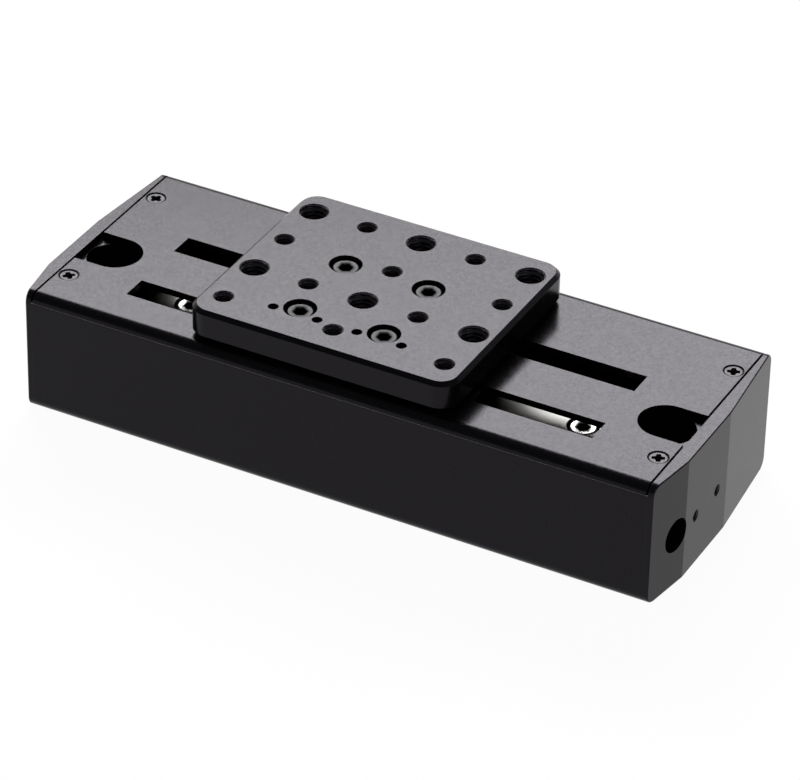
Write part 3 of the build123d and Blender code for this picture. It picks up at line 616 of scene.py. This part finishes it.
def make_finishes(tones):
    """Every finish by the name of its material slot."""
    rim = (RIM_HALF_WIDTH, RIM_TOP, RIM_BREAK)
    return {
        "black_anodised": anodised("black_anodise_case", tones.anodise, 0.21, 1.25),
        "rimmed_anodised": anodised(
            "black_anodise_base", tones.anodise, 0.21, 1.25, bare=tones.bright, rim=rim
        ),
        "plate_anodised": anodised("black_anodise_plate", tones.anodise, 0.22, 1.25, 0.26),
        "cut_thread": anodised("cut_thread", shade(tones.anodise, 1.4), 0.30, 1.50, 0.2, 0.0),
        # painted shade: a near-black finish for the inside of screw sockets and crosses, standing in for
        # the shade that falls there
        "recess_painted_shade": plated("recess_painted_shade", shade(tones.oxide, 0.25), 0.5),
        "nickel_screw": plated("dark_nickel_plate", tones.dark_nickel, 0.42),
        "bright_screw": plated("bright_zinc", tones.bright, 0.30),
        "black_screw": plated("black_oxide", tones.oxide, 0.42),
        "bearing_steel": brushed("ground_steel", tones.steel, 0.40, "X"),
        "nickel_steel": plated("nickel_steel", tones.nickel, 0.28),
        "magnet_nickel": plated("magnet_nickel", tones.nickel, 0.16),
        "plain_aluminium": brushed("clear_anodise", tones.plain, 0.34, "X"),
        "copper_wire": brushed("enamelled_copper", tones.copper, 0.28, "X"),
        "coil_resin": moulded("coil_resin", tones.resin, 0.30, 0.6, 0.01, Coat_Weight=0.4),
        "flex_film": moulded("flex_film", tones.film, 0.24, 0.9, 0.006, Coat_Weight=0.5),
        "black_plastic": moulded("black_plastic", tones.plastic, 0.46),
        "board_green": board_mask("solder_mask", tones.mask),
        "black_rubber": moulded("black_rubber", tones.rubber, 0.62, 0.35, 0.02),
        "scale_steel": ruled_scale("etched_scale", tones.scale),
        "solder": plated("solder", tones.solder, 0.26),
    }


def finish_named(key):
    """A finish by its slot, made once for the whole scene."""
    store = finish_named.__dict__.setdefault("made", {})
    if not store:
        store.update(make_finishes(bpy.context.scene.stage_colours))
    return store[key]


def dressed(piece, body, slot_name, finish=None, replaced=(), recess=None):
    """Gives a piece its body, slot and finishes, and hides the nodes that it stands for."""
    piece.data.materials.append(finish_named(finish or slot_name))
    # the second finish is the painted shade for the inside of a recess
    if recess:
        piece.data.materials.append(finish_named(recess))
    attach(piece, body)
    if replaced:
        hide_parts(*replaced)
    return piece


# ---- where things are -----------------------------------------------------


def span(node):
    """Low and high corner of a node as arrays."""
    low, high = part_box(node)
    return np.array(low), np.array(high)


def corner_spots(node, head):
    """Four screw axes from the node's box, a head's radius in from each corner."""
    low, high = span(node)
    across, along = (low[1] + head, high[1] - head), (low[0] + head, high[0] - head)
    return [(x, y) for x in along for y in across]


class StageOperator:
    """Shared by every step: it runs on the open scene."""

    bl_options = {"REGISTER", "UNDO"}


class STAGE_OT_plate_threads(StageOperator, bpy.types.Operator):
    """Cut the plate's large and small threads"""

    bl_idname = "linear_stage.plate_threads"
    bl_label = "Plate threads"

    def execute(self, context):
        sizes = context.scene.stage_threads
        low, high = span("carriage_plate")
        middle_x = (low[0] + high[0]) / 2
        top = high[2] - sizes.mouth
        bottom = span("top_cover")[1][2] + 1.0 * MM + 0.05 * MM
        step = sizes.hole_pitch
        large = [(c, r) for r in (1.5, -0.5) for c in (-2, 0, 2)]
        small = [(c, r) for r in (1.5, -0.5) for c in (-1, 1)]
        small += [(c, r) for r in (0.5, -1.5) for c in (-2, 0, 2)]
        for name, places, diameter, lead in (
            ("threads_large", large, sizes.large_diameter, sizes.large_lead),
            ("threads_small", small, sizes.small_diameter, sizes.small_lead),
        ):
            sleeve = hole_thread(diameter, lead, bottom, top)
            grids = [placed(sleeve, (middle_x + c * step, r * step, 0.0)) for c, r in places]
            piece = piece_from_grids(name, grids, joined=True)
            dressed(piece, "carriage", "black_anodised", "cut_thread")
        return {"FINISHED"}


class STAGE_OT_cap_threads(StageOperator, bpy.types.Operator):
    """Cut the two threads of the right end cap"""

    bl_idname = "linear_stage.cap_threads"
    bl_label = "End cap threads"

    def execute(self, context):
        sizes = context.scene.stage_threads
        outer = span("end_cap_right")[1][0] - 0.06 * MM
        inner = span("base_body")[1][0] + 0.1 * MM
        sleeve = hole_thread(sizes.cap_diameter, sizes.cap_lead, inner, outer, 28)
        lines = [sizes.cap_hole_y + side * sizes.cap_hole_pitch / 2 for side in (-1, 1)]
        grids = [placed(sleeve, (0.0, y, sizes.cap_hole_z), "along") for y in lines]
        piece = piece_from_grids("threads_end_cap", grids, joined=True)
        dressed(piece, "base", "black_anodised", "cut_thread")
        return {"FINISHED"}


class STAGE_OT_socket_screws(StageOperator, bpy.types.Operator):
    """Put detailed socket head screws in the plate and the rail"""

    bl_idname = "linear_stage.socket_screws"
    bl_label = "Socket head screws"

    def execute(self, context):
        sizes = context.scene.stage_screws
        head = sizes.socket_head / 2
        low, high = span("rail_screws")
        line = [(x, (low[1] + high[1]) / 2) for x in np.linspace(low[0] + head, high[0] - head, 4)]
        corners = corner_spots("plate_screws", head)
        for name, node, body, slot_name, spots in (
            ("socket_plate_screws", "plate_screws", "carriage", "black_screw", corners),
            ("socket_rail_screws", "rail_screws", "base", "bright_screw", line),
        ):
            low, high = span(node)
            screw = socket_screw(sizes, high[2] - low[2])
            grids = [placed(screw, (x, y, high[2])) for x, y in spots]
            # the hexagon socket's inside gets the painted shade finish
            piece = piece_from_grids(name, grids, recess_bands=3)
            dressed(piece, body, slot_name, replaced=[node], recess="recess_painted_shade")
        return {"FINISHED"}


class STAGE_OT_countersunk_screws(StageOperator, bpy.types.Operator):
    """Put detailed countersunk screws where the plain ones are"""

    bl_idname = "linear_stage.countersunk_screws"
    bl_label = "Countersunk screws"

    def execute(self, context):
        sizes = context.scene.stage_screws
        head = sizes.flat_head / 2
        low, high = span("coil_bar_screws")
        middle_y = (low[1] + high[1]) / 2
        side_y = (high[1] - low[1]) / 2 - head
        coil_half = sizes.coil_pitch / 2
        coil = [(x, middle_y + s * side_y) for x in (-coil_half, coil_half) for s in (-1, 1)]
        coil += [(low[0] + head, middle_y), (high[0] - head, middle_y)]
        low, high = span("read_head_screws")
        reader = [(x, (low[1] + high[1]) / 2) for x in (low[0] + head, high[0] - head)]
        jobs = (
            ("cross_cover_screws", "cover_screws", "base", "nickel_screw", None, "up"),
            ("cross_cap_screws", "end_cap_screws", "base", "nickel_screw", None, "down"),
            ("cross_yoke_screws", "yoke_screws", "carriage", "black_screw", None, "up"),
            ("cross_coil_screws", "coil_bar_screws", "base", "black_screw", coil, "up"),
            ("cross_reader_screws", "read_head_screws", "base", "black_screw", reader, "up"),
        )
        for name, node, body, slot_name, spots, turn in jobs:
            low, high = span(node)
            spots = spots or corner_spots(node, head)
            screw = countersunk_screw(sizes, high[2] - low[2])
            height = high[2] if turn == "up" else low[2]
            grids = [
                placed(spun(screw, degrees), (x, y, height), turn)
                for (x, y), degrees in zip(spots, STOPPED_AT)
            ]
            # the cross recess's inside gets the painted shade finish
            piece = piece_from_grids(name, grids, recess_bands=3)
            dressed(piece, body, slot_name, replaced=[node], recess="recess_painted_shade")
        return {"FINISHED"}


class STAGE_OT_wound_coils(StageOperator, bpy.types.Operator):
    """Wind the motor's coils wire by wire"""

    bl_idname = "linear_stage.wound_coils"
    bl_label = "Wound coils"

    def execute(self, context):
        sizes = context.scene.stage_coils
        low, high = span("coil_windings")
        wide = high[0] - low[0] - (sizes.count - 1) * sizes.pitch
        tall, thick = high[2] - low[2], high[1] - low[1]
        ring = wound_ring(wide, tall, thick, sizes.band, sizes.corner, sizes.wires)
        middle = (low + high) / 2
        first = -(sizes.count - 1) / 2
        steps = [np.array([(first + i) * sizes.pitch, 0.0, 0.0]) for i in range(sizes.count)]
        grids = [ring + middle + step for step in steps]
        piece = piece_from_grids("wound_coils", grids, joined=True)
        dressed(piece, "base", "copper_wire", replaced=["coil_windings"])
        return {"FINISHED"}


class STAGE_OT_board_parts(StageOperator, bpy.types.Operator):
    """Add the chips' leads and the connector's solder joints"""

    bl_idname = "linear_stage.board_parts"
    bl_label = "Board parts"

    def execute(self, context):
        low, high = span("board_chips")
        top = span("circuit_board")[1][2]
        centre_y = (low[1] + high[1]) / 2
        half = (high[1] - low[1]) / 2
        leads = []
        lead_count, lead_pitch, first_lead = 5, 1.3 * MM, 0.7 * MM
        for x in low[0] + first_lead + np.arange(lead_count) * lead_pitch:
            for side in (-1, 1):
                spot = (x, centre_y + side * (half - 0.05 * MM), top + 0.62 * MM)
                leads.append(bent_lead(spot, side, 0.75 * MM, 0.5 * MM, 0.42 * MM, 0.14 * MM))
        dressed(piece_from_grids("chip_leads", leads), "base", "scale_steel", "solder")
        low, high = span("board_connector")
        joint_pitch, joint_size = 1.5 * MM, (0.9 * MM, 0.85 * MM, 0.45 * MM)
        joint_x, joint_z = low[0] - 0.55 * MM, top - 0.02 * MM
        spots = [(joint_x, centre_y + (i - 1.5) * joint_pitch, joint_z) for i in range(4)]
        joints = beads(spots, joint_size)
        dressed(piece_from_grids("connector_joints", joints), "base", "scale_steel", "solder")
        return {"FINISHED"}


class STAGE_OT_finish_solids(StageOperator, bpy.types.Operator):
    """Give every solid the finish of its material slot"""

    bl_idname = "linear_stage.finish_solids"
    bl_label = "Finish the solids"

    def execute(self, context):
        slots = {row["node"]: row["material_slot"] for row in frame["record"]["subparts"]}
        special = {"carriage_plate": "plate_anodised", "base_body": "rimmed_anodised"}
        for name, node in frame["nodes"].items():
            key = special.get(name, slots[name])
            node.data.materials.clear()
            node.data.materials.append(finish_named(key))
        return {"FINISHED"}


def softbox(name, radiance, place, wide, tall):
    """An area lamp that faces the stage; its power gives the wanted radiance over its area."""
    lamp = bpy.data.lights.new(name, "AREA")
    lamp.shape, lamp.size, lamp.size_y = "RECTANGLE", wide, tall
    lamp.energy = radiance * math.pi * wide * tall
    item = bpy.data.objects.new(name, lamp)
    bpy.context.scene.collection.objects.link(item)
    facing = np.array(STAGE_MIDDLE) - np.array(place)
    item.matrix_world = Matrix.Translation(place) @ look_along(facing)
    return item


def look_along(facing):
    """Turn that points an object's -Z along a direction, with its Y upwards."""
    back = -facing / np.linalg.norm(facing)
    right = np.cross((0.0, 0.0, 1.0), back)
    right /= np.linalg.norm(right)
    up = np.cross(back, right)
    return Matrix(np.stack([right, up, back], axis=1).tolist()).to_4x4()


def studio_floor(white):
    """A wide dish: a flat disc that curves up at its rim, as one surface turned about Z."""
    theta = np.linspace(0.0, TURN, 96, endpoint=False)[None, :]
    bend = np.linspace(0.0, math.pi / 2, 10)[:, None]
    flat = [[FLOOR_RADIUS + FLOOR_BEND]]
    radius = np.concatenate([[[0.4]], [[1.5]], FLOOR_RADIUS + FLOOR_BEND * np.sin(bend), flat])
    height = np.concatenate([[[0.0]], [[0.0]], FLOOR_BEND * (1.0 - np.cos(bend)), [[FLOOR_RIM]]])
    height = height - FLOOR_DROP
    grid = around(radius + 0 * theta, height, theta)[::-1]
    columns = theta.size
    index = np.arange(grid.shape[0] * columns).reshape(grid.shape[:2])
    beside = np.roll(index, -1, axis=1)
    quads = np.stack([index[:-1], beside[:-1], beside[1:], index[1:]], axis=-1).reshape(-1, 4)
    mesh = bpy.data.meshes.new("studio_floor")
    points = np.concatenate([grid.reshape(-1, 3), [[0.0, 0.0, -FLOOR_DROP]]])
    faces = quads.tolist() + pole_faces(index[-1], len(points) - 1, True).tolist()
    mesh.from_pydata(points.tolist(), [], faces)
    mesh.shade_smooth()
    floor = bpy.data.objects.new("studio_floor", mesh)
    bpy.context.scene.collection.objects.link(floor)
    pale = (0.92, 0.92, 0.92, 1.0)
    paper = Finish("floor_paper", Base_Color=pale, Roughness=0.9, Specular_IOR_Level=0.0)
    path = paper.node("LightPath").outputs
    seen = path["Is Camera Ray"]
    for ray in ("Is Glossy Ray", "Is Transmission Ray"):
        seen = paper.node("Math", {0: seen, 1: path[ray]}, operation="MAXIMUM").outputs[0]
    share = paper.node("Math", {0: seen, 1: white}, operation="MULTIPLY").outputs[0]
    glow = paper.node("Emission", {"Strength": 1.04}).outputs[0]
    mix = paper.node("MixShader", {0: share, 1: paper.shader.outputs[0], 2: glow})
    paper.tree.links.new(mix.outputs[0], paper.tree.nodes["Material Output"].inputs["Surface"])
    mesh.materials.append(paper.material)


class STAGE_OT_studio(StageOperator, bpy.types.Operator):
    """Set the floor, the lamps, the world and the camera"""

    bl_idname = "linear_stage.studio"
    bl_label = "Studio"

    def execute(self, context):
        light = context.scene.stage_light
        studio_floor(light.floor_white)
        softbox("back_softbox", light.back_light, **BACK_SOFTBOX)
        softbox("side_softbox", light.fill_light, **SIDE_SOFTBOX)
        world = bpy.data.worlds.new("studio_air")
        world.use_nodes = True
        air = world.node_tree.nodes["Background"]
        air.inputs["Color"].default_value = (1.0, 1.0, 1.0, 1.0)
        air.inputs["Strength"].default_value = light.ambient
        context.scene.world = world
        camera = bpy.data.objects.new("studio_camera", bpy.data.cameras.new("studio_camera"))
        camera.data.sensor_fit = "HORIZONTAL"
        camera.data.sensor_width = SENSOR_WIDTH
        camera.data.lens = light.lens
        camera.matrix_world = Matrix.Translation(CAMERA_PLACE) @ Matrix(CAMERA_AXES).to_4x4()
        context.scene.collection.objects.link(camera)
        context.scene.camera = camera
        context.scene.view_settings.view_transform = "Standard"
        return {"FINISHED"}


OPERATORS = (
    STAGE_OT_finish_solids,
    STAGE_OT_plate_threads,
    STAGE_OT_cap_threads,
    STAGE_OT_socket_screws,
    STAGE_OT_countersunk_screws,
    STAGE_OT_wound_coils,
    STAGE_OT_board_parts,
    STAGE_OT_studio,
)


class STAGE_PT_panel(bpy.types.Panel):
    """Sizes, colours and steps of the linear stage"""

    bl_idname = "STAGE_PT_panel"
    bl_label = "Linear Stage"
    bl_space_type = "VIEW_3D"
    bl_region_type = "UI"
    bl_category = "Linear Stage"

    def draw(self, context):
        for group in GROUPS:
            box = self.layout.box()
            owner = getattr(context.scene, group)
            for key in owner.bl_rna.properties.keys():
                if key not in {"rna_type", "name"}:
                    box.prop(owner, key)
        for operator in OPERATORS:
            self.layout.operator(operator.bl_idname)


CLASSES = (*GROUPS.values(), *OPERATORS, STAGE_PT_panel)


def register():
    for item in CLASSES:
        bpy.utils.register_class(item)
    for key, group in GROUPS.items():
        setattr(bpy.types.Scene, key, PointerProperty(type=group))


def unregister():
    for key in GROUPS:
        delattr(bpy.types.Scene, key)
    for item in reversed(CLASSES):
        bpy.utils.unregister_class(item)


def main():
    register()
    for operator in OPERATORS:
        family, step = operator.bl_idname.split(".")
        getattr(getattr(bpy.ops, family), step)()


if __name__ == "__main__":
    main()
